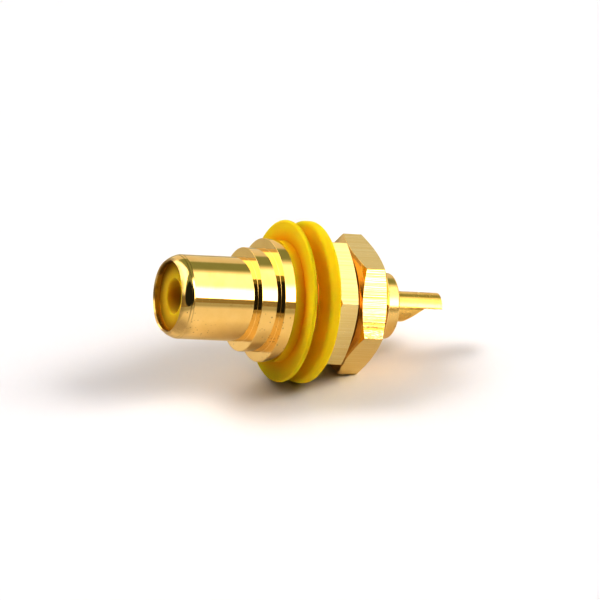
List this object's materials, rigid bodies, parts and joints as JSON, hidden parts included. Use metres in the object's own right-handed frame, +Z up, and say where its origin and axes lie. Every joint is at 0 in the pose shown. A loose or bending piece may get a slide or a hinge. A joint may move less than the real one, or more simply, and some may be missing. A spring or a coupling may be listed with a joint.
{
  "type": "phono panel socket",
  "caption": "Gold-plated coaxial phono socket for a panel: stepped plug barrel, yellow insulating washers, hexagon nuts and a sprung centre contact with a solder cup.",
  "frame": {"origin": "on the socket's axis, in the plane where the panel's front face meets the front washer", "axes": "+Y along the axis towards the solder cup, so the mouth faces -Y; +Z up, +X to the side"},
  "size_m": [0.016, 0.029, 0.016],
  "materials": {
    "polished_gold": "polished gold plate",
    "contact_gold": "satin gold plate",
    "nut_gold": "gold plate over drawn hexagon bar",
    "yellow_washer": "satin moulded plastic",
    "yellow_insulator": "satin moulded plastic"
  },
  "bodies": {
    "root": {"outer_shell": "polished_gold", "front_insulator": "yellow_insulator", "centre_contact": "contact_gold", "rear_insulator": "yellow_insulator", "front_insulating_washer": "yellow_washer", "rear_insulating_washer": "yellow_washer", "panel_nut": "nut_gold", "lock_nut": "nut_gold"}
  },
  "joints": []
}
